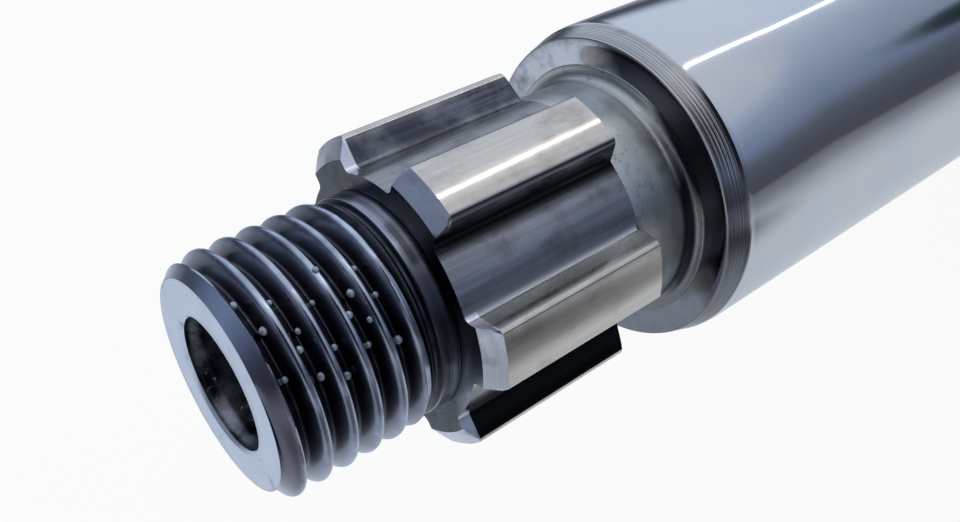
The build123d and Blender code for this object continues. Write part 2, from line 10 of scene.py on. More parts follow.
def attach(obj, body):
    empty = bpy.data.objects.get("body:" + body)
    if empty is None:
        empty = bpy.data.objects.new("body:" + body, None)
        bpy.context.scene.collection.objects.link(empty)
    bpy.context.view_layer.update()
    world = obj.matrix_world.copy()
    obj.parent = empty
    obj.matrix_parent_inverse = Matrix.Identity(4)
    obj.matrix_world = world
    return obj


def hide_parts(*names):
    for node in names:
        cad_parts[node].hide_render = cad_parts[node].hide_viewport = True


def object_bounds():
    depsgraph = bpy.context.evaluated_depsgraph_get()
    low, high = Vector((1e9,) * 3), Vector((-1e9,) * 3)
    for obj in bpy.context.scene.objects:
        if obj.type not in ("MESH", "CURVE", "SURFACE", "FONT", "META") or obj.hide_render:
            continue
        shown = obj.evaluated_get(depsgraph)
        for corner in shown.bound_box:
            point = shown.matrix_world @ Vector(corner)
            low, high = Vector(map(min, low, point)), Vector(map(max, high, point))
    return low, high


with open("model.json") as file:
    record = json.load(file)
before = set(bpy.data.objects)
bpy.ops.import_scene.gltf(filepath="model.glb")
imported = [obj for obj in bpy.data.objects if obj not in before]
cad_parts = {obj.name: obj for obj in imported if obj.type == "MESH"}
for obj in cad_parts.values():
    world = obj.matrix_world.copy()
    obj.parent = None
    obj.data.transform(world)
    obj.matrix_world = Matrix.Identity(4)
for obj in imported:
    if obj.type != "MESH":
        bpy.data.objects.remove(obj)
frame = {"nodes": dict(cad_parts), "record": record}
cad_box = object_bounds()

# The screw lies along +X with the centre of its drive-end face at the origin. +Z is up.
# Sizes are in millimetres and are turned into metres by MM. Angles of places on the screw run
# from +Y towards +Z, in degrees.
MM = 0.001
SIDES = 288                    # facets around a turned surface
WELD = 0.002                   # points nearer than this become one
SHARP_ANGLE = 32.0             # faces that meet at more than this keep a sharp edge

# ---- sizes of the screw, as in the CAD ------------------------------------------------------
BORE_RADIUS = 10.0
THREAD_RADIUS = 18.0
THREAD_CHAMFER = 2.2
THREAD_END = 22.5
SPLINE_START = 28.0
SPLINE_END = 61.4
SPLINE_TEETH = 6
SPLINE_PHASE = 51.0            # angle of one tooth
SPLINE_ROOT = 20.0
SPLINE_TIP = 25.0
TOOTH_HALF_WIDTH = 5.0
ROOT_FILLET = 1.2
LEAD_IN_RADIUS = 22.0
LEAD_IN_LENGTH = 2.0
TAIL_SLOPE = 1.2
NECK_RADIUS = 20.0
SHOULDER = 73.0
SHOULDER_RADIUS = 27.0
LAND_START = 78.7
LAND_RADIUS = 28.25
LAND_END = 178.0
CREST_RADIUS = 31.25
BALL_THREAD_START = 185.0
BALL_THREAD_END = 445.0
THREAD_END_CHAMFER = 2.5
LEAD = 20.0
BALL_CIRCLE = 32.25
GROOVE_PLACE = 308.0           # the groove crosses +Y here
COLLAR_RADIUS = 25.0
COLLAR_END = 458.0
JOURNAL_RADIUS = 20.0
JOURNAL_END = 482.0
RING_GROOVE_START = 476.0
RING_GROOVE_END = 477.5
RING_GROOVE_RADIUS = 18.5

# ---- forms that only this scene has ---------------------------------------------------------
# They follow the photograph, or are too fine for the CAD. The CAD has a plain cylinder at the
# thread's major diameter, an undercut in front of the spline, a cone in the neck's corner and
# flat-sided ball grooves. Here these are a thread, a plain band, a fillet and round grooves.
BORE_STEP_RADIUS = 9.4
BORE_STEP_DEPTH = 1.8
BORE_MOUTH = 0.5               # rounding of the bore's edge at the end face
THREAD_PITCH = 4.0
THREAD_DEPTH = 2.45
THREAD_CREST = 0.7             # place of a crest at the angle below
THREAD_CREST_ANGLE = 55.0
THREAD_START = 0.05            # just behind the end face
THREAD_FLANK = 60.0            # angle between a flank and the axis
FADE_LENGTH = 1.4              # the crests sink over this length at the run-out
FADE_SLOPE = 0.25
RUNOUT_GROOVE_RADIUS = 16.7
BAND_START = 24.8
BAND_END = SPLINE_START
BAND_RADIUS = 17.4
BAND_EDGE = 0.15               # rounding of the band's edge towards the thread
RELIEF_RADIUS = 17.1           # where the band meets the spline's front
TIP_BEVEL = 0.5
NECK_FILLET = 2.0
SHOULDER_LIP = 0.25            # lip between the fillet and the shoulder's face
SHOULDER_RIM = 0.35
TAPER_RADIUS = 27.9
TAPER_END = 76.6
TAPER_RIDGES = 5
TAPER_LIP = 0.35               # ridge between the taper and the land
TAPER_LIP_RISE = 0.08
GROOVE_RADIUS = 3.79
GROOVE_EDGE = 0.35             # rounding between a groove and its crest

# ---- drops of oil on the thread -------------------------------------------------------------
DROP_COUNT = 18
DROPS_START = 3.0
DROPS_LENGTH = 18.5
GOLDEN_STEP = 0.618            # share of that length from one drop to the next
DROPS_FIRST_ANGLE = 106
DROPS_ANGLE = 54

# ---- camera, light and floor ----------------------------------------------------------------
CAMERA_PLACE = (-32.63, -93.69, 92.93)
CAMERA_FORWARD = (0.50801, 0.60650, -0.61160)
CAMERA_LENS = 36.49
CAMERA_CLIP = 0.005            # metres
# narrow light overhead that shines straight down, in metres, degrees and watts
STRIP_PLACE = (1.35, 0.124, 1.0)
STRIP_LENGTH = 2.3
STRIP_WIDTH = 0.026
STRIP_TURN = 8.7
STRIP_WATTS = 0.95
FLOOR_HALF = 4.0               # metres
FLOOR_GAP = 0.001              # metres below the lowest piece
FLOOR_COVER_GLOSSY = 0.75      # how much of the real floor its sheen hides from glossy rays
FLOOR_COVER_CAMERA = 0.93      # and how much plain white hides from the camera


# ---- shader helpers -------------------------------------------------------------------------
class Finish:
    """A material whose nodes are added one call at a time."""

    def __init__(self, name):
        self.material = bpy.data.materials.new(name)
        self.material.use_nodes = True
        self.tree = self.material.node_tree
        self.shader = self.tree.nodes["Principled BSDF"]
        self.place = self.add("ShaderNodeTexCoord").outputs["Object"]

    def add(self, kind, inputs=(), **settings):
        node = self.tree.nodes.new(kind)
        for key, value in settings.items():
            setattr(node, key, value)
        for key, value in dict(inputs).items():
            if isinstance(value, bpy.types.NodeSocket):
                self.tree.links.new(value, node.inputs[key])
            else:
                node.inputs[key].default_value = value
        return node

    def set(self, **sockets):
        for key, value in sockets.items():
            name = key.replace("_", " ")
            if isinstance(value, bpy.types.NodeSocket):
                self.tree.links.new(value, self.shader.inputs[name])
            else:
                self.shader.inputs[name].default_value = value

    def noise(self, scale, detail=4.0, roughness=0.55):
        """Noise through the piece. The scale is per metre, one number or one for each axis."""
        scales = scale if isinstance(scale, tuple) else (scale, scale, scale)
        node = self.add("ShaderNodeMapping", {"Vector": self.place, "Scale": scales})
        return self.noise_over(node.outputs["Vector"], detail, roughness)

    def noise_over(self, vector, detail, roughness):
        node = self.add("ShaderNodeTexNoise", {
            "Vector": vector, "Scale": 1.0, "Detail": detail, "Roughness": roughness})
        return node.outputs["Fac"]

    def radius(self):
        """Distance from the screw's axis, in metres."""
        flat = self.add("ShaderNodeVectorMath", {0: self.place, 1: (0, 1, 1)}, operation="MULTIPLY")
        out = self.add("ShaderNodeVectorMath", {0: flat.outputs[0]}, operation="LENGTH")
        return out.outputs["Value"]

    def along(self):
        """Place along the screw's axis, in metres."""
        return self.add("ShaderNodeSeparateXYZ", {0: self.place}).outputs["X"]

    def math(self, operation, a, b=0.0):
        return self.add("ShaderNodeMath", {0: a, 1: b}, operation=operation).outputs[0]

    def span(self, value, low, high, out_low=0.0, out_high=1.0):
        """value taken from low..high to out_low..out_high, held at the ends."""
        node = self.add("ShaderNodeMapRange", {
            "Value": value, "From Min": low, "From Max": high,
            "To Min": out_low, "To Max": out_high})
        return node.outputs["Result"]

    def patchy(self, noise, low, high):
        """low to high in patches, as a noise goes from little to much."""
        return self.span(noise, 0.3, 0.7, low, high)

    def mix(self, factor, a, b):
        node = self.add("ShaderNodeMix", data_type="RGBA")
        for socket, value in ((node.inputs[0], factor), (node.inputs[6], a), (node.inputs[7], b)):
            if isinstance(value, bpy.types.NodeSocket):
                self.tree.links.new(value, socket)
            else:
                socket.default_value = value
        return node.outputs[2]

    def bump(self, height, distance, strength=0.5):
        """Relief of this depth, in millimetres."""
        node = self.add("ShaderNodeBump", {
            "Height": height, "Distance": distance * MM, "Strength": strength})
        self.set(Normal=node.outputs["Normal"])

    def height(self):
        """Height over the screw's axis, in metres."""
        return self.add("ShaderNodeSeparateXYZ", {0: self.place}).outputs["Z"]

    def beside(self, angle, radius, core, reach):
        """1 along a line parallel to the axis, fading to 0 at this reach. Millimetres, degrees."""
        line = on_axis(0.0, radius, math.radians(angle))
        flat = self.add("ShaderNodeVectorMath", {0: self.place, 1: (0, 1, 1)}, operation="MULTIPLY")
        away = self.add("ShaderNodeVectorMath", {0: flat.outputs[0], 1: line}, operation="DISTANCE")
        return self.span(away.outputs["Value"], core * MM, reach * MM, 1.0, 0.0)

    def towards(self, angle, start, full):
        """0 to 1 from start to full millimetres out from the axis towards an angle in degrees."""
        way = on_axis(0.0, 1.0 / MM, math.radians(angle))
        out = self.add("ShaderNodeVectorMath", {0: self.place, 1: way}, operation="DOT_PRODUCT")
        return self.span(out.outputs["Value"], start * MM, full * MM)

    def between(self, start, full, share=1.0):
        """0 at one place along the screw, share at the other and beyond it. Millimetres."""
        return self.span(self.along(), start * MM, full * MM, 0.0, share)

    def below(self, start, full, share=1.0):
        """0 at one height over the axis, share at the other, lower one. Millimetres."""
        return self.span(self.height(), start * MM, full * MM, 0.0, share)

    def turned_lines(self, per_mm):
        """Noise that changes along the axis and with the radius only, as lathe marks do."""
        lines = self.add("ShaderNodeCombineXYZ", {
            "X": self.math("MULTIPLY", self.along(), per_mm / MM),
            "Y": self.math("MULTIPLY", self.radius(), per_mm / MM)})
        return self.noise_over(lines.outputs[0], detail=3.0, roughness=0.7)


def rgb(red, green, blue):
    return (red, green, blue, 1.0)


# ---- finishes of the screw ------------------------------------------------------------------
# The oil film and painted shade lie on one side of the screw. The places where they start and
# end are fixed to the screw and were read from the dark parts of the photograph.
def oily_thread():
    """Thread with dark oil and painted shade on its upper side, where only the crests shine, duller
    below. Its valleys are darkened as painted shade.
    """
    f = Finish("oily_thread")
    # painted shade: the valleys darker than the crests, by distance from the axis
    height = f.span(f.radius(), (THREAD_RADIUS - THREAD_DEPTH) * MM, THREAD_RADIUS * MM)
    patches = f.noise(260, detail=6.0)
    wear = f.patchy(patches, 0.45, 1.0)
    # oil film, deepened with painted shade, on the side towards 143 degrees
    oil_and_shade = f.towards(143.0, 7.0, 15.0)
    crests = f.math("MULTIPLY", f.math("POWER", height, 3.0), wear)
    slopes = f.math("MULTIPLY", f.math("POWER", height, 1.4), wear)
    darkened = f.mix(crests, rgb(0.026, 0.023, 0.036), rgb(0.62, 0.66, 0.78))
    dry = f.mix(slopes, rgb(0.045, 0.048, 0.066), rgb(0.55, 0.60, 0.73))
    threaded = f.mix(oil_and_shade, dry, darkened)
    chamfer = f.between(THREAD_CHAMFER + 0.1, THREAD_CHAMFER - 0.5)
    # painted shade: the end chamfer darker towards 175 degrees
    lower = f.towards(175.0, 7.0, 15.0)
    bevel = f.mix(lower, rgb(0.42, 0.46, 0.56), rgb(0.12, 0.11, 0.14))
    f.set(Base_Color=f.mix(chamfer, threaded, bevel), Metallic=1.0,
          Roughness=f.patchy(patches, 0.15, 0.28), Coat_Weight=0.3, Coat_Roughness=0.10)
    grit = f.noise(2500, detail=2.0)
    f.bump(grit, 0.03, 0.25)
    return f.material


def oily_undercut():
    """Run-out behind the thread and front of the spline: nearly black with oil. On the spline's
    front, painted shade makes it near black towards 110 degrees and a painted reflection makes it
    lighter towards 178 degrees.
    """
    f = Finish("oily_undercut")
    lines = f.turned_lines(4.0)
    film = f.noise(300, detail=5.0)
    dark = f.mix(f.span(lines, 0.35, 0.65), rgb(0.016, 0.017, 0.026), rgb(0.055, 0.060, 0.085))
    darkened = f.mix(f.span(film, 0.5, 0.7), dark, rgb(0.012, 0.012, 0.016))
    on_spline = f.between(SPLINE_START - 0.3, SPLINE_START - 0.1)
    # oil and painted shade: the spline's front near black towards 110 degrees
    above = f.math("MULTIPLY", on_spline, f.towards(110.0, 17.0, 19.5))
    # painted reflection: the spline's front lighter towards 178 degrees
    under = f.math("MULTIPLY", on_spline, f.towards(178.0, 15.5, 18.5))
    dark_front = f.mix(above, darkened, rgb(0.005, 0.005, 0.007))
    f.set(Base_Color=f.mix(under, dark_front, rgb(0.22, 0.23, 0.27)), Metallic=1.0,
          Roughness=f.patchy(film, 0.20, 0.36), Coat_Weight=0.3, Coat_Roughness=0.15)
    f.bump(lines, 0.02)
    return f.material


def plain_band():
    """Satin band behind the thread, darker towards its lower side and towards 148 degrees: painted
    shade, with some oil.
    """
    f = Finish("plain_band")
    lines = f.turned_lines(3.0)
    film = f.noise(300, detail=5.0)
    steel = f.mix(f.span(lines, 0.35, 0.65), rgb(0.24, 0.25, 0.31), rgb(0.46, 0.48, 0.56))
    # painted shade with some oil: darker towards 172 degrees on the thread's side, and towards 148
    # degrees
    thread_side = f.between(BAND_START + 1.9, BAND_START + 1.0)
    low = f.math("MULTIPLY", thread_side, f.towards(172.0, 14.5, 16.8))
    oil_and_shade = f.math("MAXIMUM", low, f.towards(148.0, 14.5, 16.8))
    f.set(Base_Color=f.mix(oil_and_shade, steel, rgb(0.07, 0.07, 0.09)), Metallic=1.0,
          Roughness=f.patchy(film, 0.24, 0.34))
    f.bump(lines, 0.008)
    return f.material


def oil_drop():
    f = Finish("oil_drop")
    haze = f.noise(1500, detail=2.0)
    f.set(Base_Color=f.mix(f.span(haze, 0.35, 0.65), rgb(0.20, 0.24, 0.30), rgb(0.44, 0.49, 0.58)),
          Metallic=0.0, Roughness=0.06, Coat_Weight=1.0, Coat_Roughness=0.03, IOR=2.1)
    return f.material


def end_face():
    """Satin blue-grey face with fine turning rings and a few stains."""
    f = Finish("end_face")
    rings = f.turned_lines(7.0)
    stains = f.noise(180, detail=6.0, roughness=0.65)
    clean = f.mix(f.span(rings, 0.35, 0.65), rgb(0.64, 0.69, 0.80), rgb(0.73, 0.78, 0.89))
    f.set(Base_Color=f.mix(f.span(stains, 0.60, 0.78), clean, rgb(0.22, 0.24, 0.29)),
          Metallic=1.0, Roughness=f.patchy(stains, 0.30, 0.42), Coat_Weight=0.25,
          Coat_Roughness=0.15)
    f.bump(rings, 0.006)
    return f.material


def bore_wall():
    f = Finish("bore_wall")
    marks = f.turned_lines(2.0)
    grime = f.noise(220, detail=6.0)
    wall = f.mix(f.span(grime, 0.38, 0.62), rgb(0.05, 0.05, 0.06), rgb(0.30, 0.31, 0.35))
    # painted highlights: small near-white specks on the wall
    painted_glints = f.noise(1300, detail=2.0)
    f.set(Base_Color=f.mix(f.span(painted_glints, 0.68, 0.72), wall, rgb(0.85, 0.87, 0.92)),
          Metallic=1.0, Roughness=f.patchy(grime, 0.24, 0.45))
    f.bump(marks, 0.02)
    return f.material


def tooth_top():
    """Ground tooth tops: bright neutral steel with brown blotches and lengthwise marks."""
    f = Finish("tooth_top")
    grain = f.noise((60, 1800, 1800))
    blotch = f.noise((150, 210, 210), detail=5.0, roughness=0.6)
    steel = f.mix(f.span(grain, 0.35, 0.65), rgb(0.60, 0.55, 0.49), rgb(0.68, 0.62, 0.55))
    blotched = f.mix(f.span(blotch, 0.50, 0.74, 0.0, 0.6), steel, rgb(0.34, 0.27, 0.22))
    # painted shade: the top of the tooth at 171 degrees darker
    tarnish_and_shade = f.math("MULTIPLY", f.beside(170.5, SPLINE_TIP, 0.4, 2.4), 0.65)
    shaded_top = f.mix(tarnish_and_shade, blotched, rgb(0.27, 0.24, 0.21))
    # painted shade: a dark line along the edge of the tooth at 111 degrees, at 122.6 degrees
    edge = f.beside(122.6, SPLINE_TIP - 0.1, 0.5, 1.0)
    f.set(Base_Color=f.mix(edge, shaded_top, rgb(0.16, 0.16, 0.17)), Metallic=1.0,
          Roughness=f.patchy(grain, 0.11, 0.15))
    f.bump(grain, 0.002)
    return f.material


def tooth_front():
    """Chamfered fronts of the teeth: satin blue-grey."""
    f = Finish("tooth_front")
    lines = f.turned_lines(5.0)
    film = f.noise(260, detail=5.0)
    steel = f.mix(f.span(lines, 0.35, 0.65), rgb(0.68, 0.68, 0.73), rgb(0.82, 0.81, 0.86))
    filmed = f.mix(f.span(film, 0.52, 0.74), steel, rgb(0.42, 0.42, 0.48))
    # near black along a line at 126.3 degrees, by the root of the tooth at 111 degrees
    f.set(Base_Color=f.mix(f.beside(126.3, 20.9, 1.3, 2.2), filmed, rgb(0.02, 0.02, 0.025)),
          Metallic=1.0, Roughness=f.patchy(film, 0.24, 0.36))
    f.bump(lines, 0.006)
    return f.material


def tooth_flank():
    """Milled flanks, dark with an oil film, lengthwise cutter marks. Near black low down as painted
    shade and along a line at 126.5 degrees, with painted light near 157 and 158 degrees.
    """
    f = Finish("tooth_flank")
    grain = f.noise((45, 1500, 1500))
    film = f.noise(240, detail=5.0)
    dark = f.mix(f.span(film, 0.4, 0.65), rgb(0.07, 0.07, 0.085), rgb(0.20, 0.20, 0.22))
    streaked = f.mix(f.span(grain, 0.5, 0.75, 0.0, 0.5), dark, rgb(0.32, 0.32, 0.34))
    # painted shade: near black on the flanks from 6 mm below the axis
    under = f.below(-6, -11)
    # near black below the axis, and along a line at 126.5 degrees by the root of the tooth at 111
    # degrees
    darkened = f.math("MAXIMUM", under, f.beside(126.5, 20.6, 0.9, 1.8))
    dimmed = f.mix(darkened, streaked, rgb(0.006, 0.006, 0.007))
    # painted light: a lighter band on the upper flank of the tooth at 171 degrees
    painted_light_flank = f.mix(f.beside(158.4, 23.0, 1.9, 2.6), dimmed, rgb(0.36, 0.34, 0.31))
    # painted highlight along the root fillet at 156.8 degrees
    f.set(Base_Color=f.mix(f.beside(156.8, 20.8, 0.8, 1.7), painted_light_flank, rgb(0.34, 0.34, 0.34)),
          Metallic=1.0, Roughness=f.patchy(film, 0.2, 0.36), Coat_Weight=0.2,
          Coat_Roughness=0.08)
    f.bump(grain, 0.003)
    return f.material


def tooth_gap():
    """Root of the spline: blue-grey oiled steel with lengthwise streaks."""
    f = Finish("tooth_gap")
    grain = f.noise((40, 900, 900))
    film = f.noise(200, detail=5.0)
    steel = f.mix(f.span(grain, 0.35, 0.65), rgb(0.25, 0.24, 0.255), rgb(0.38, 0.37, 0.385))
    stained = f.mix(f.span(film, 0.52, 0.76, 0.0, 0.8), steel, rgb(0.11, 0.10, 0.10))
    # near black along the root beside the tooth at 111 degrees
    darkened = f.beside(126.5, 20.4, 0.9, 2.2)
    dimmed = f.mix(darkened, stained, rgb(0.010, 0.010, 0.013))
    # painted highlight along the root at 156 degrees
    f.set(Base_Color=f.mix(f.beside(156.0, 20.6, 1.0, 2.0), dimmed, rgb(0.44, 0.44, 0.44)),
          Metallic=1.0, Roughness=f.patchy(film, 0.22, 0.38), Coat_Weight=0.35,
          Coat_Roughness=0.10)
    f.bump(grain, 0.006)
    return f.material


def neck():
    """Satin turned neck, slightly green, with stains, and painted shade low down, in its fillet and
    on its lip.
    """
    f = Finish("neck")
    lines = f.turned_lines(6.0)
    stains = f.noise(420, detail=7.0, roughness=0.7)
    steel = f.mix(f.span(lines, 0.38, 0.62), rgb(0.42, 0.43, 0.42), rgb(0.62, 0.62, 0.60))
    stained = f.mix(f.span(stains, 0.55, 0.76, 0.0, 0.8), steel, rgb(0.15, 0.14, 0.12))
    pits = f.noise(1100, detail=5.0, roughness=0.7)
    pitted = f.mix(f.span(pits, 0.58, 0.72, 0.0, 0.75), stained, rgb(0.13, 0.13, 0.12))
    # painted shade: darker towards the bottom
    dimmed = f.mix(f.below(6, -4, 0.82), pitted, rgb(0.17, 0.17, 0.18))
    fillet_start = SHOULDER - NECK_FILLET
    lip_start = SHOULDER - 0.6
    lip_full = SHOULDER - 0.38
    cleaner = f.math("MULTIPLY", f.between(fillet_start - 4.7, fillet_start - 2.8, 0.85),
                     f.between(fillet_start + 0.1, fillet_start - 0.7))
    clear = f.mix(cleaner, dimmed, rgb(0.80, 0.82, 0.80))
    fillet = f.math("MULTIPLY", f.between(fillet_start - 0.4, fillet_start + 0.3),
                    f.between(lip_full, lip_start))
    # painted shade: the fillet darker towards 174 degrees, and the lip below it towards 136 degrees
    darkened = f.math("MULTIPLY", fillet, f.towards(174.0, 15.5, 18.5))
    lip = f.math("MULTIPLY", f.between(lip_start, lip_full), f.towards(136.0, 20.0, 21.4))
    with_painted_shade = f.mix(f.math("MAXIMUM", darkened, lip), clear, rgb(0.035, 0.035, 0.042))
    f.set(Base_Color=with_painted_shade, Metallic=1.0, Roughness=f.patchy(stains, 0.30, 0.42))
    f.bump(lines, 0.010)
    return f.material


def shoulder_face():
    """Smooth turned face that mirrors the neck in front of it, with painted shade low down and a
    crescent of painted reflection.
    """
    f = Finish("shoulder_face")
    lines = f.turned_lines(6.0)
    film = f.noise(260, detail=6.0, roughness=0.65)
    steel = f.mix(f.span(lines, 0.38, 0.62), rgb(0.56, 0.58, 0.62), rgb(0.70, 0.73, 0.78))
    stained = f.mix(f.span(film, 0.48, 0.74, 0.0, 0.8), steel, rgb(0.14, 0.14, 0.15))
    # painted shade: darker towards the bottom
    pale = f.mix(f.below(15, 5, 0.85), stained, rgb(0.17, 0.18, 0.20))
    # painted reflection of the dark neck in front, with some oil: a dark crescent towards 141.5
    # degrees
    crescent = f.mix(f.towards(141.5, 12.0, 16.0), pale, rgb(0.085, 0.085, 0.10))
    f.set(Base_Color=crescent, Metallic=1.0, Roughness=f.patchy(film, 0.12, 0.20))
    f.bump(lines, 0.003)
    return f.material


def turned_taper():
    """Ridged lead-in to the land: bright ridges, dark grooves."""
    f = Finish("turned_taper")
    lines = f.turned_lines(5.0)
    film = f.noise(260, detail=6.0, roughness=0.65)
    steel = f.mix(f.span(lines, 0.38, 0.62), rgb(0.20, 0.195, 0.20), rgb(0.62, 0.61, 0.62))
    stained = f.mix(f.span(film, 0.56, 0.80, 0.0, 0.7), steel, rgb(0.16, 0.15, 0.15))
    # painted shade: darker towards the bottom
    under = f.below(14, 4, 0.75)
    f.set(Base_Color=f.mix(under, stained, rgb(0.14, 0.14, 0.15)), Metallic=1.0,
          Roughness=f.patchy(film, 0.14, 0.22))
    f.bump(lines, 0.006, 0.6)
    return f.material


def polished_land():
    """Ground and polished cylinder, almost a mirror, with a faint haze."""
    f = Finish("polished_land")
    lines = f.turned_lines(14.0)
    haze = f.noise((70, 110, 110))
    specks = f.noise(900, detail=5.0, roughness=0.7)
    steel = f.mix(f.span(haze, 0.35, 0.68), rgb(0.61, 0.62, 0.65), rgb(0.66, 0.65, 0.64))
    f.set(Base_Color=f.mix(f.span(specks, 0.70, 0.80, 0.0, 0.7), steel, rgb(0.26, 0.25, 0.26)),
          Metallic=1.0, Roughness=f.patchy(haze, 0.08, 0.11))
    f.bump(lines, 0.0012)
    return f.material


def ground_thread():
    """Ball thread: ground crests and a bright rolled track in the groove."""
    f = Finish("ground_thread")
    lines = f.turned_lines(8.0)
    film = f.noise(90, detail=5.0)
    groove_bottom = BALL_CIRCLE - GROOVE_RADIUS
    track = f.span(f.radius(), (groove_bottom + 0.14) * MM, (CREST_RADIUS - 0.05) * MM)
    steel = f.mix(track, rgb(0.62, 0.64, 0.67), rgb(0.44, 0.46, 0.50))
    f.set(Base_Color=f.mix(f.span(film, 0.55, 0.75, 0.0, 0.6), steel, rgb(0.22, 0.22, 0.24)),
          Metallic=1.0, Roughness=f.patchy(film, 0.14, 0.24))
    f.bump(lines, 0.002)
    return f.material


# ---- mesh of the screw ----------------------------------------------------------------------
class Skin:
    """Grids of points gathered into one mesh, each grid with its own finish."""

    def __init__(self):
        self.points = []
        self.faces = []
        self.finish_of_face = []
        self.finishes = []

    def finish(self, material):
        if material not in self.finishes:
            self.finishes.append(material)
        return self.finishes.index(material)

    def grid(self, rows, material, step=0):
        """Rows run along +X, columns once round +X. The last column meets the first one
        step rows further on, so that a helical grid closes on itself.
        material is one finish, or a function from a column to its finish."""
        base = len(self.points)
        count = len(rows[0])
        for row in rows:
            self.points.extend(row)
        for column in range(count):
            finish = material(column) if callable(material) else material
            slot = self.finish(finish)
            last = column == count - 1
            shift = step if last else 0
            beside = 0 if last else column + 1
            for i in range(len(rows) - 1 - shift):
                a = base + i * count + column
                b = base + (i + 1) * count + column
                c = base + (i + 1 + shift) * count + beside
                d = base + (i + shift) * count + beside
                self.faces.append((a, d, c, b))
                self.finish_of_face.append(slot)

    def turned(self, outline, material):
        """Surface of revolution through (place along X, radius) points, in millimetres."""
        rows = [ring(x, radius) for x, radius in outline]
        self.grid(rows, material)

    def build(self, name, body):
        mesh = bpy.data.meshes.new(name)
        mesh.from_pydata(self.points, [], self.faces)
        for material in self.finishes:
            mesh.materials.append(material)
        mesh.polygons.foreach_set("material_index", self.finish_of_face)
        mesh.validate()
        weld_points(mesh, WELD * MM)
        mesh.shade_smooth()
        mesh.set_sharp_from_angle(angle=math.radians(SHARP_ANGLE))
        piece = bpy.data.objects.new(name, mesh)
        bpy.context.scene.collection.objects.link(piece)
        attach(piece, body)
        return piece


def weld_points(mesh, distance):
    shape = bmesh.new()
    shape.from_mesh(mesh)
    bmesh.ops.remove_doubles(shape, verts=shape.verts, dist=distance)
    bmesh.ops.dissolve_degenerate(shape, edges=shape.edges, dist=distance / 4)
    shape.to_mesh(mesh)
    shape.free()


def on_axis(x, radius, angle):
    """Point at this angle from +Y towards +Z, in metres."""
    return (x * MM, radius * math.cos(angle) * MM, radius * math.sin(angle) * MM)


def ring(x, radius):
    return [on_axis(x, radius, 2 * math.pi * i / SIDES) for i in range(SIDES)]


def arc(cx, cy, radius, start, end, steps):
    """Points (x, y) on an arc, angles in degrees."""
    found = []
    for i in range(steps + 1):
        angle = math.radians(start + (end - start) * i / steps)
        found.append((cx + radius * math.cos(angle), cy + radius * math.sin(angle)))
    return found


def helical_rows(lead, zero_place, zero_angle, offsets, radii, start, end, envelope):
    """Grid rows that follow a helix. offsets and radii describe one lead of it, and offset 0
    lies at zero_place at zero_angle."""
    rows = []
    first = math.floor((start - zero_place) / lead) - 2
    last = math.ceil((end - zero_place) / lead) + 2
    for turn in range(first, last):
        for offset, radius in zip(offsets, radii):
            row = []
            for i in range(SIDES):
                angle = 2 * math.pi * i / SIDES
                lag = lead * (angle - math.radians(zero_angle)) / (2 * math.pi)
                x = zero_place + turn * lead + offset + lag
                held = min(max(x, start), end)
                if held != x:
                    radius_here = helix_radius(held - zero_place - lag, lead, offsets, radii)
                else:
                    radius_here = radius
                row.append(on_axis(held, min(radius_here, envelope(held)), angle))
            rows.append(row)
    return rows


def helix_radius(offset, lead, offsets, radii):
    """Radius of the helix at this distance from offset 0, straight between given points."""
    place = (offset - offsets[0]) % lead + offsets[0]
    places = list(offsets) + [offsets[0] + lead]
    values = list(radii) + [radii[0]]
    for left, right, low, high in zip(places, places[1:], values, values[1:]):
        if left <= place <= right:
            share = (place - left) / (right - left)
            return low + (high - low) * share
    return values[-1]


def thread_profile():
    """Distances from the crest, and radii, over one pitch: round crest, straight flanks."""
    crest = THREAD_RADIUS
    root = THREAD_RADIUS - THREAD_DEPTH
    flank_start = 0.48
    flank_end = 1.62
    flank_top = crest - 0.22
    slope = math.tan(math.radians(THREAD_FLANK))
    half = [(0.0, crest), (0.20, crest - 0.03), (0.36, crest - 0.11), (flank_start, flank_top)]
    for share in (0.25, 0.5, 0.75, 1.0):
        offset = flank_start + (flank_end - flank_start) * share
        half.append((offset, flank_top - slope * (offset - flank_start)))
    half += [(1.76, root + 0.06), (1.88, root)]
    left = [(-offset, radius) for offset, radius in reversed(half[1:])]
    return [offset for offset, _ in left + half], [radius for _, radius in left + half]


def thread_radius(x, angle):
    """Radius of the thread's surface at x and an angle in degrees, both in millimetres."""
    offsets, radii = thread_profile()
    place = x - THREAD_CREST - THREAD_PITCH * (angle - THREAD_CREST_ANGLE) / 360
    offset = (place + THREAD_PITCH / 2) % THREAD_PITCH - THREAD_PITCH / 2
    for i in range(len(offsets) - 1):
        if offsets[i] <= offset <= offsets[i + 1]:
            share = (offset - offsets[i]) / (offsets[i + 1] - offsets[i])
            return radii[i] + (radii[i + 1] - radii[i]) * share
    return radii[0]


def thread_envelope(x):
    """Chamfer at the end face and the fade into the run-out."""
    fade = max(0.0, x - (THREAD_END - FADE_LENGTH))
    return min(THREAD_RADIUS - THREAD_CHAMFER + x, THREAD_RADIUS - FADE_SLOPE * fade)


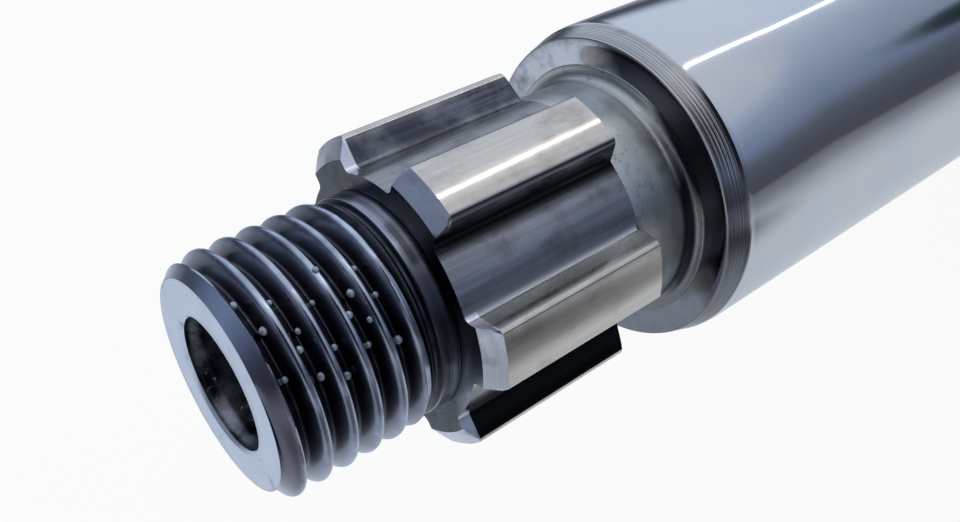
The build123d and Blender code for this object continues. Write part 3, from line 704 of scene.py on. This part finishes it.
def ball_groove_profile():
    """Distances from the groove's middle, and radii, over one lead of the ball thread."""
    half_width = math.sqrt(GROOVE_RADIUS ** 2 - (BALL_CIRCLE - CREST_RADIUS) ** 2)
    middle = LEAD / 2
    edge = GROOVE_EDGE
    offsets = [-middle, -middle / 2, -half_width - edge, -half_width - edge / 2]
    radii = [CREST_RADIUS, CREST_RADIUS, CREST_RADIUS, CREST_RADIUS - 0.05]
    steps = 12
    widest = math.degrees(math.asin(half_width / GROOVE_RADIUS)) - 3
    for i in range(steps + 1):
        angle = math.radians(-widest + 2 * widest * i / steps)
        offsets.append(GROOVE_RADIUS * math.sin(angle))
        radii.append(BALL_CIRCLE - GROOVE_RADIUS * math.cos(angle))
    offsets += [half_width + edge / 2, half_width + edge, middle / 2]
    radii += [CREST_RADIUS - 0.05, CREST_RADIUS, CREST_RADIUS]
    return offsets, radii


def ball_thread_envelope(x):
    """The cone up from the land and the chamfer at the thread's end."""
    rise = (CREST_RADIUS - LAND_RADIUS) * (x - LAND_END) / (BALL_THREAD_START - LAND_END)
    chamfer = CREST_RADIUS + BALL_THREAD_END - THREAD_END_CHAMFER - x
    return min(LAND_RADIUS + rise, CREST_RADIUS, chamfer)


def tooth_outline():
    """Half a tooth and its neighbouring gap, as (out along the tooth, across it, part).
    Points close to a corner on both sides keep its shading crisp."""
    points = []
    fillet_ring = SPLINE_ROOT + ROOT_FILLET
    across = TOOTH_HALF_WIDTH + ROOT_FILLET
    out = math.sqrt(fillet_ring ** 2 - across ** 2)
    seat = math.asin(across / fillet_ring)
    half_gap = math.pi / SPLINE_TEETH
    for i in range(5):
        angle = half_gap + (seat - half_gap) * i / 4
        points.append((SPLINE_ROOT * math.cos(angle), SPLINE_ROOT * math.sin(angle), "gap"))
    start = math.degrees(seat) - 180
    for x, y in arc(out, across, ROOT_FILLET, start, -90, 6)[1:]:
        points.append((x, y, "flank"))
    corner = math.sqrt(SPLINE_TIP ** 2 - TOOTH_HALF_WIDTH ** 2)
    flank_top = corner - TIP_BEVEL
    points.append(((out + flank_top) / 2, TOOTH_HALF_WIDTH, "flank"))
    bevel_foot = TOOTH_HALF_WIDTH - TIP_BEVEL
    bevel_out = math.sqrt(SPLINE_TIP ** 2 - bevel_foot ** 2)
    points.append((flank_top - 0.12, TOOTH_HALF_WIDTH, "flank"))
    points.append((flank_top + 0.10, TOOTH_HALF_WIDTH - 0.10, "bevel"))
    points.append((bevel_out - 0.06, bevel_foot + 0.06, "bevel"))
    edge = math.asin((bevel_foot - 0.08) / SPLINE_TIP)
    for share in (1.0, 0.97, 0.75, 0.5, 0.25, 0.0):
        angle = edge * share
        points.append((SPLINE_TIP * math.cos(angle), SPLINE_TIP * math.sin(angle), "top"))
    return points


def spline_columns():
    """Every column of the spline, once round: (tooth angle, out, across, part)."""
    half = tooth_outline()
    columns = []
    for tooth in range(SPLINE_TEETH):
        angle = math.radians(SPLINE_PHASE) + 2 * math.pi * tooth / SPLINE_TEETH
        columns += [(angle, out, -across, part) for out, across, part in half]
        mirrored = [(angle, out, across, part) for out, across, part in reversed(half[1:-1])]
        columns += mirrored
    return columns


def spline_row(columns, x, limit):
    """Section of the spline at x, its teeth cut down to the radius limit."""
    row = []
    for angle, out, across, _ in columns:
        if math.hypot(out, across) > limit:
            out = math.sqrt(limit ** 2 - across ** 2)
        turn = math.atan2(across, out)
        row.append(on_axis(x, math.hypot(out, across), angle + turn))
    return row


def spline_rows(columns):
    inner = [
        on_axis(SPLINE_START, RELIEF_RADIUS, angle + math.atan2(across, out))
        for angle, out, across, _ in columns
    ]
    rows = [inner]
    rows.append(spline_row(columns, SPLINE_START, SPLINE_ROOT - 0.06))
    rows.append(spline_row(columns, SPLINE_START, SPLINE_ROOT))
    fronts = len(rows)
    for share in (0.0, 0.04, 0.25, 0.5, 0.75, 0.96, 1.0):
        limit = LEAD_IN_RADIUS + (SPLINE_TIP - LEAD_IN_RADIUS) * share
        rows.append(spline_row(columns, SPLINE_START + LEAD_IN_LENGTH * share, limit))
    chamfers = len(rows)
    straight_start = SPLINE_START + LEAD_IN_LENGTH + 0.15
    straight_end = SPLINE_END - TAIL_SLOPE - 0.1
    for i in range(12):
        x = straight_start + (straight_end - straight_start) * i / 11
        rows.append(spline_row(columns, x, SPLINE_TIP + 0.01))
    for share in (0.0, 0.04, 0.3, 0.6, 1.0):
        limit = SPLINE_TIP + (SPLINE_ROOT - SPLINE_TIP) * share
        rows.append(spline_row(columns, SPLINE_END - TAIL_SLOPE * (1 - share), limit))
    return rows[:fronts + 1], rows[fronts:chamfers], rows[chamfers - 1:]


def neck_outline():
    """Neck, from just under the teeth's backs to the start of the fillet."""
    outline = [(SPLINE_END - 0.6, NECK_RADIUS - 0.1), (SPLINE_END, NECK_RADIUS)]
    outline += [(SPLINE_END + 1.6 * i, NECK_RADIUS) for i in range(1, 6)]
    return outline + fillet_outline()[:1]


def fillet_outline():
    """Fillet between neck and shoulder, ending in a small lip."""
    x = SHOULDER - SHOULDER_LIP
    corner = NECK_RADIUS + NECK_FILLET
    return arc(x - NECK_FILLET, corner, NECK_FILLET, -90, 0, 8) + [
        (x, corner + 0.2),
        (SHOULDER - 0.18, corner + 0.38),
        (SHOULDER, corner + 0.45),
    ]


def face_outline():
    """Turned face of the shoulder, from the fillet's lip to the start of its rim."""
    radii = (22.6, 23.5, 24.5, 25.5, SHOULDER_RADIUS - SHOULDER_RIM)
    return fillet_outline()[-1:] + [(SHOULDER, radius) for radius in radii]


def taper_outline():
    """Rounded rim of the shoulder and the ridged taper up to the land."""
    outline = face_outline()[-1:]
    start = SHOULDER + SHOULDER_RIM
    outline += [(SHOULDER + 0.1, SHOULDER_RADIUS - 0.1), (start, SHOULDER_RADIUS)]
    for i in range(TAPER_RIDGES):
        share = (i + 0.5) / TAPER_RIDGES
        x = start + (TAPER_END - start) * share
        radius = SHOULDER_RADIUS + (TAPER_RADIUS - SHOULDER_RADIUS) * share
        outline += [(x - 0.14, radius), (x, radius - 0.06), (x + 0.14, radius + 0.03)]
    return outline + [
        (TAPER_END - 0.05, TAPER_RADIUS),
        (TAPER_END + 0.1, TAPER_RADIUS - 0.12),
        (TAPER_END + TAPER_LIP, TAPER_RADIUS + TAPER_LIP_RISE),
    ]


def land_outline():
    """Lip behind the taper, and the land in three stretches."""
    start = TAPER_END + TAPER_LIP
    stretch = 20
    return [
        (start, TAPER_RADIUS + TAPER_LIP_RISE),
        (start + 0.2, LAND_RADIUS - 0.12),
        (LAND_START - 0.25, LAND_RADIUS - 0.06),
        (LAND_START, LAND_RADIUS),
        (LAND_START + stretch, LAND_RADIUS),
        (LAND_END - stretch, LAND_RADIUS),
        (LAND_END, LAND_RADIUS),
    ]


def bore_outline():
    """Wall of the coolant bore, from the far end to the step behind the end face."""
    return [
        (JOURNAL_END, BORE_RADIUS),
        (BORE_STEP_DEPTH + 1.0, BORE_STEP_RADIUS),
        (BORE_STEP_DEPTH + 0.2, BORE_STEP_RADIUS + 0.15),
        (BORE_STEP_DEPTH - 0.4, BORE_RADIUS - 0.1),
        (BORE_STEP_DEPTH - 0.9, BORE_RADIUS),
        (BORE_MOUTH, BORE_RADIUS),
    ]


def end_face_outline():
    """Rounded mouth of the bore and the end face, out to the thread's chamfer."""
    face_edge = THREAD_RADIUS - THREAD_CHAMFER
    return [
        (BORE_MOUTH, BORE_RADIUS),
        (0.1, BORE_RADIUS + BORE_MOUTH - 0.1),
        (0.0, BORE_RADIUS + BORE_MOUTH + 0.1),
        (0.0, (BORE_RADIUS + face_edge) / 2),
        (0.0, face_edge - 0.2),
        (THREAD_START, face_edge),
    ]


def runout_outline():
    """Fading thread, a narrow groove, and the start of the band."""
    groove = RUNOUT_GROOVE_RADIUS
    return [
        (THREAD_END - 1.0, THREAD_RADIUS - THREAD_DEPTH),
        (THREAD_END + 0.2, groove + 0.1),
        (THREAD_END + 0.6, groove + 0.5),
        (THREAD_END + 0.9, groove + 0.55),
        (THREAD_END + 1.2, groove + 0.35),
        (THREAD_END + 1.5, groove),
        (BAND_START - 0.4, groove),
        (BAND_START - 0.1, groove + 0.35),
        (BAND_START, BAND_RADIUS - BAND_EDGE),
    ]


def band_outline():
    """Band in front of the spline, with rounded edges and a faint dip along its middle."""
    middle = (BAND_START + BAND_END) / 2
    return [
        (BAND_START, BAND_RADIUS - BAND_EDGE),
        (BAND_START + 0.12, BAND_RADIUS - 0.03),
        (BAND_START + 0.35, BAND_RADIUS),
        (middle - 0.5, BAND_RADIUS - 0.03),
        (middle, BAND_RADIUS - 0.05),
        (middle + 0.5, BAND_RADIUS - 0.02),
        (BAND_END - 0.7, BAND_RADIUS + 0.04),
        (BAND_END - 0.25, BAND_RADIUS + 0.02),
        (BAND_END - 0.08, BAND_RADIUS - 0.06),
        (BAND_END, RELIEF_RADIUS),
    ]


def tail_outline():
    """End of the ball thread, seal collar and journal with its snap ring groove."""
    return [
        (BALL_THREAD_END, BALL_CIRCLE - GROOVE_RADIUS - 0.2),
        (BALL_THREAD_END, COLLAR_RADIUS + 0.3),
        (BALL_THREAD_END + 0.3, COLLAR_RADIUS),
        (COLLAR_END - 0.2, COLLAR_RADIUS),
        (COLLAR_END, COLLAR_RADIUS - 0.2),
        (COLLAR_END, JOURNAL_RADIUS),
        (RING_GROOVE_START, JOURNAL_RADIUS),
        (RING_GROOVE_START, RING_GROOVE_RADIUS),
        (RING_GROOVE_END, RING_GROOVE_RADIUS),
        (RING_GROOVE_END, JOURNAL_RADIUS),
        (JOURNAL_END - 1, JOURNAL_RADIUS),
        (JOURNAL_END, JOURNAL_RADIUS - 1),
        (JOURNAL_END, BORE_RADIUS),
    ]


def make_screw():
    """The whole screw as one mesh, with threads, spline and turned forms."""
    skin = Skin()
    front, wall = end_face(), bore_wall()
    thread, chamfered = oily_thread(), tooth_front()
    undercut = oily_undercut()
    top, flank, gap = tooth_top(), tooth_flank(), tooth_gap()
    plain, face, taper = neck(), shoulder_face(), turned_taper()
    land, ball_thread = polished_land(), ground_thread()

    skin.turned(bore_outline(), wall)
    skin.turned(end_face_outline(), front)
    offsets, radii = thread_profile()
    skin.grid(helical_rows(THREAD_PITCH, THREAD_CREST, THREAD_CREST_ANGLE, offsets, radii,
                           THREAD_START, THREAD_END, thread_envelope), thread, step=len(offsets))
    skin.turned(runout_outline(), undercut)
    skin.turned(band_outline(), plain_band())

    columns = spline_columns()
    finish_of = {"top": top, "bevel": top, "flank": flank, "gap": gap}
    fronts, chamfers, teeth = spline_rows(columns)
    skin.grid(fronts, undercut)
    skin.grid(chamfers, lambda column: gap if columns[column][3] == "gap" else chamfered)
    skin.grid(teeth, lambda column: finish_of[columns[column][3]])

    skin.turned(neck_outline(), plain)
    skin.turned(fillet_outline(), plain)
    skin.turned(face_outline(), face)
    skin.turned(taper_outline(), taper)
    skin.turned(land_outline(), land)

    offsets, radii = ball_groove_profile()
    skin.grid(helical_rows(LEAD, GROOVE_PLACE, 0.0, offsets, radii, LAND_END, BALL_THREAD_END,
                           ball_thread_envelope), ball_thread, step=len(offsets))
    skin.turned(tail_outline(), ball_thread)
    screw = skin.build("screw_detail", "screw")
    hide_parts("screw_shaft")


def make_drops():
    """Small drops of oil that cling to the upper side of the thread."""
    chance = random.Random(7)
    mesh = bpy.data.meshes.new("oil_drops")
    drops = bmesh.new()
    for i in range(DROP_COUNT):
        x = DROPS_START + DROPS_LENGTH * ((GOLDEN_STEP * i) % 1.0) + chance.uniform(-1.2, 1.2)
        degrees = DROPS_FIRST_ANGLE + DROPS_ANGLE * (i + chance.uniform(0.0, 1.0)) / DROP_COUNT
        size = chance.uniform(0.40, 0.66)
        angle = math.radians(degrees)
        place = Vector(on_axis(x, thread_radius(x, degrees) + 0.2 * size, angle))
        flat = Matrix.Diagonal((size * MM, size * MM, 0.7 * size * MM, 1.0))
        lean = Vector((0, math.cos(angle), math.sin(angle))).to_track_quat("Z", "X")
        turned = Matrix.Translation(place) @ lean.to_matrix().to_4x4()
        bmesh.ops.create_icosphere(drops, subdivisions=2, radius=1.0, matrix=turned @ flat)
    drops.to_mesh(mesh)
    drops.free()
    for face in mesh.polygons:
        face.use_smooth = True
    mesh.materials.append(oil_drop())
    piece = bpy.data.objects.new("oil_drops", mesh)
    bpy.context.scene.collection.objects.link(piece)
    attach(piece, "screw")


# ---- finishes of the CAD nodes --------------------------------------------------------------
def steel(name, colour, roughness, marks=5.0, stain=0.25):
    """Machined steel: lathe or grinding marks and a thin uneven oil film."""
    f = Finish(name)
    lines = f.turned_lines(marks)
    film = f.noise(120, detail=5.0)
    dark = rgb(*(stain * value for value in colour))
    clean = f.mix(f.span(lines, 0.35, 0.65), rgb(*(0.86 * value for value in colour)), rgb(*colour))
    f.set(Base_Color=f.mix(f.span(film, 0.56, 0.78, 0.0, 0.7), clean, dark), Metallic=1.0,
          Roughness=f.patchy(film, roughness, roughness + 0.12))
    f.bump(lines, 0.004)
    return f.material


def black_oxide(name):
    f = Finish(name)
    grain = f.noise(1200, detail=3.0)
    wear = f.noise(300, detail=6.0)
    oxide = f.mix(f.span(wear, 0.58, 0.78), rgb(0.025, 0.025, 0.028), rgb(0.12, 0.12, 0.13))
    f.set(Base_Color=oxide, Metallic=0.8, Roughness=f.patchy(grain, 0.34, 0.5))
    f.bump(grain, 0.008)
    return f.material


def brass(name):
    f = Finish(name)
    lines = f.turned_lines(6.0)
    tarnish_and_shade = f.noise(350, detail=5.0)
    dulled = f.mix(f.span(tarnish_and_shade, 0.5, 0.75), rgb(0.72, 0.50, 0.20), rgb(0.36, 0.24, 0.10))
    f.set(Base_Color=dulled, Metallic=1.0, Roughness=f.patchy(tarnish_and_shade, 0.22, 0.4))
    f.bump(lines, 0.006)
    return f.material


def cast_iron(name):
    """Painted grey casting with a fine orange-peel skin."""
    f = Finish(name)
    skin = f.noise(700)
    dust = f.noise(60, detail=6.0)
    f.set(Base_Color=f.mix(f.span(dust, 0.4, 0.7), rgb(0.085, 0.10, 0.12), rgb(0.13, 0.15, 0.17)),
          Metallic=0.0, Roughness=f.patchy(dust, 0.36, 0.5))
    f.bump(skin, 0.06, 0.6)
    return f.material


def rubber(name):
    f = Finish(name)
    grain = f.noise(1500, detail=3.0)
    bloom = f.noise(150, detail=5.0)
    bloomed = f.mix(f.span(bloom, 0.4, 0.7), rgb(0.012, 0.012, 0.013), rgb(0.035, 0.034, 0.033))
    f.set(Base_Color=bloomed, Metallic=0.0, Roughness=f.patchy(grain, 0.55, 0.7))
    f.bump(grain, 0.02)
    return f.material


def acetal(name):
    f = Finish(name)
    lines = f.turned_lines(3.0)
    grime = f.noise(200, detail=6.0)
    f.set(Base_Color=f.mix(f.span(grime, 0.5, 0.75), rgb(0.62, 0.56, 0.42), rgb(0.30, 0.26, 0.18)),
          Metallic=0.0, Roughness=f.patchy(grime, 0.35, 0.5), Subsurface_Weight=0.1)
    f.bump(lines, 0.01)
    return f.material


def dress_nodes():
    finishes = {
        "nut_steel": steel("nut_steel", (0.46, 0.48, 0.50), 0.22, marks=3.0),
        "clamp_steel": black_oxide("clamp_black"),
        "screw_black": black_oxide("screw_black"),
        "nipple_brass": brass("nipple_brass"),
        "bearing_steel": steel("bearing_steel", (0.62, 0.63, 0.65), 0.12, marks=9.0, stain=0.5),
        "cage_brass": brass("cage_brass"),
        "roller_steel": steel("roller_steel", (0.68, 0.69, 0.70), 0.08, marks=12.0, stain=0.6),
        "spring_steel": black_oxide("spring_steel"),
        "housing_iron": cast_iron("housing_iron"),
        "seal_rubber": rubber("seal_rubber"),
        "cover_steel": steel("cover_steel", (0.42, 0.43, 0.45), 0.25, marks=2.5),
        "ball_steel": steel("ball_steel", (0.70, 0.71, 0.73), 0.07, marks=1.0, stain=0.7),
        "tube_steel": steel("tube_steel", (0.58, 0.58, 0.58), 0.16, marks=1.0),
        "wiper_plastic": acetal("wiper_plastic"),
    }
    for subpart in frame["record"]["subparts"]:
        node, name = subpart["node"], subpart["material_slot"]
        if name in finishes:
            mesh = frame["nodes"][node].data
            mesh.materials.clear()
            mesh.materials.append(finishes[name])


# ---- stage ----------------------------------------------------------------------------------
# shaded patches of the floor as the steel sees them, in metres: middle, fully dark within,
# clear beyond
SHADED_PATCHES = [((0.13, -0.27), 0.05, 0.17), ((-0.04, -0.17), 0.07, 0.17)]
# how bright the steel sees the floor, by half its distance from the axis in metres
FLOOR_BY_DISTANCE = [
    (0.0, (0.72, 0.79, 0.88)), (0.07, (0.71, 0.78, 0.87)), (0.12, (0.52, 0.57, 0.63)),
    (0.22, (0.27, 0.30, 0.35)), (0.32, (0.18, 0.19, 0.23)), (0.8, (0.11, 0.11, 0.14)),
]
# how bright the surroundings are, by the sine of the height above the horizon
SKY_BY_HEIGHT = [
    (0.0, (0.09, 0.09, 0.12)), (0.105, (0.085, 0.10, 0.14)), (0.225, (0.115, 0.14, 0.19)),
    (0.326, (0.20, 0.26, 0.40)), (0.423, (0.26, 0.34, 0.48)), (0.515, (0.35, 0.42, 0.57)),
    (0.574, (0.42, 0.51, 0.67)), (0.636, (0.56, 0.63, 0.76)), (1.0, (0.78, 0.83, 0.90)),
]
WINDOW_GLOW = (0.71, 0.82, 0.98)
# dark things in the room, the first where the photograph's camera stands: direction, degrees
# fully dark, degrees to where it fades, colour
DARK_THINGS = [
    ((-0.508, -0.6065, 0.6116), 20, 37, (0.012, 0.012, 0.016)),
    ((0.875, -0.35, 0.335), 2.5, 5.5, (0.016, 0.030, 0.034)),
]


def make_floor(height):
    """Pale floor with a faint shadow. The camera sees it almost white. Polished steel sees it
    bright near the part, darker further off and in its shaded patches."""
    mesh = bpy.data.meshes.new("floor")
    half = FLOOR_HALF
    corners = [(-half, -half), (half, -half), (half, half), (-half, half)]
    mesh.from_pydata([(x, y, height) for x, y in corners], [], [(0, 1, 2, 3)])
    floor = bpy.data.objects.new("floor", mesh)
    bpy.context.scene.collection.objects.link(floor)
    f = Finish("pale_floor")
    aside = f.math("ABSOLUTE", f.add("ShaderNodeSeparateXYZ", {0: f.place}).outputs["Y"])
    far = f.add("ShaderNodeValToRGB", {0: f.math("MULTIPLY", aside, 0.5)})
    set_ramp(far.color_ramp, FLOOR_BY_DISTANCE)
    f.set(Base_Color=rgb(0.86, 0.87, 0.89), Roughness=0.9)
    path = f.add("ShaderNodeLightPath")
    white = f.add("ShaderNodeEmission", {"Color": rgb(1, 1, 1), "Strength": 1.0})
    lit = 1.0
    for place, core, reach in SHADED_PATCHES:
        middle = (*place, height)
        away = f.add("ShaderNodeVectorMath", {0: f.place, 1: middle}, operation="DISTANCE")
        shade = f.span(away.outputs["Value"], core, reach, 0.06, 1.0)
        shade.node.interpolation_type = "SMOOTHSTEP"
        lit = f.math("MULTIPLY", shade, lit)
    sheen = f.add("ShaderNodeEmission", {"Color": far.outputs[0], "Strength": lit})
    glossy = f.math("MULTIPLY", path.outputs["Is Glossy Ray"], FLOOR_COVER_GLOSSY)
    plain = f.shader.outputs[0]
    steel_sees = f.add("ShaderNodeMixShader", {0: glossy, 1: plain, 2: sheen.outputs[0]})
    seen = f.math("MULTIPLY", path.outputs["Is Camera Ray"], FLOOR_COVER_CAMERA)
    blend = f.add("ShaderNodeMixShader", {0: seen, 1: steel_sees.outputs[0], 2: white.outputs[0]})
    f.tree.links.new(blend.outputs[0], f.tree.nodes["Material Output"].inputs["Surface"])
    mesh.materials.append(f.material)


def set_ramp(ramp, stops):
    while len(ramp.elements) < len(stops):
        ramp.elements.new(1.0)
    for element, (position, colour) in zip(ramp.elements, stops):
        element.position = position
        element.color = rgb(*colour)


def make_world():
    """Soft studio surroundings for the steel to mirror: dark at the horizon, brighter overhead,
    a window's glow from high up on the +Y side, and two dark things. The camera sees white."""
    world = bpy.data.worlds.new("studio")
    bpy.context.scene.world = world
    world.use_nodes = True
    tree = world.node_tree
    link = tree.links.new
    background = tree.nodes["Background"]
    axes = tree.nodes.new("ShaderNodeSeparateXYZ")
    direction = tree.nodes.new("ShaderNodeTexCoord").outputs["Generated"]
    link(direction, axes.inputs[0])
    sky = tree.nodes.new("ShaderNodeValToRGB")
    set_ramp(sky.color_ramp, SKY_BY_HEIGHT)
    link(axes.outputs["Z"], sky.inputs[0])

    def soft_step(value, low, high):
        step = tree.nodes.new("ShaderNodeMapRange")
        step.interpolation_type = "SMOOTHSTEP"
        step.inputs["From Min"].default_value = low
        step.inputs["From Max"].default_value = high
        link(value, step.inputs["Value"])
        return step.outputs["Result"]

    def blend(factor, a, b):
        node = tree.nodes.new("ShaderNodeMix")
        node.data_type = "RGBA"
        link(factor, node.inputs[0])
        link(a, node.inputs[6])
        node.inputs[7].default_value = rgb(*b)
        return node.outputs[2]

    side = tree.nodes.new("ShaderNodeMath")
    side.operation = "MULTIPLY"
    link(soft_step(axes.outputs["Y"], -0.15, 0.25), side.inputs[0])
    link(soft_step(axes.outputs["Z"], 0.10, 0.36), side.inputs[1])
    ahead = tree.nodes.new("ShaderNodeMath")
    ahead.operation = "MULTIPLY"
    link(side.outputs[0], ahead.inputs[0])
    link(soft_step(axes.outputs["X"], -0.35, 0.15), ahead.inputs[1])
    glowing = blend(ahead.outputs[0], sky.outputs[0], WINDOW_GLOW)
    for towards, core, reach, colour in DARK_THINGS:
        angle = tree.nodes.new("ShaderNodeVectorMath")
        angle.operation = "DOT_PRODUCT"
        link(direction, angle.inputs[0])
        angle.inputs[1].default_value = Vector(towards).normalized()
        spot = soft_step(angle.outputs["Value"], math.cos(math.radians(reach)),
                         math.cos(math.radians(core)))
        glowing = blend(spot, glowing, colour)
    seen = tree.nodes.new("ShaderNodeLightPath").outputs["Is Camera Ray"]
    link(blend(seen, glowing, (1, 1, 1)), background.inputs["Color"])
    background.inputs["Strength"].default_value = 1.0


def make_strip_light():
    """Long narrow light overhead, which the land mirrors as a bright line."""
    light = bpy.data.lights.new("strip", "AREA")
    light.shape = "RECTANGLE"
    light.size = STRIP_LENGTH
    light.size_y = STRIP_WIDTH
    light.energy = STRIP_WATTS
    strip = bpy.data.objects.new("strip", light)
    bpy.context.scene.collection.objects.link(strip)
    strip.location = STRIP_PLACE
    strip.rotation_euler = (0, 0, math.radians(STRIP_TURN))


def make_camera():
    data = bpy.data.cameras.new("camera")
    data.lens = CAMERA_LENS
    data.clip_start = CAMERA_CLIP
    camera = bpy.data.objects.new("camera", data)
    bpy.context.scene.collection.objects.link(camera)
    camera.location = [value * MM for value in CAMERA_PLACE]
    camera.rotation_euler = Vector(CAMERA_FORWARD).to_track_quat("-Z", "Y").to_euler()
    bpy.context.scene.camera = camera


make_screw()
make_drops()
dress_nodes()
make_floor(cad_box[0][2] - FLOOR_GAP)
make_world()
make_strip_light()
make_camera()
bpy.context.scene.view_settings.view_transform = "Standard"
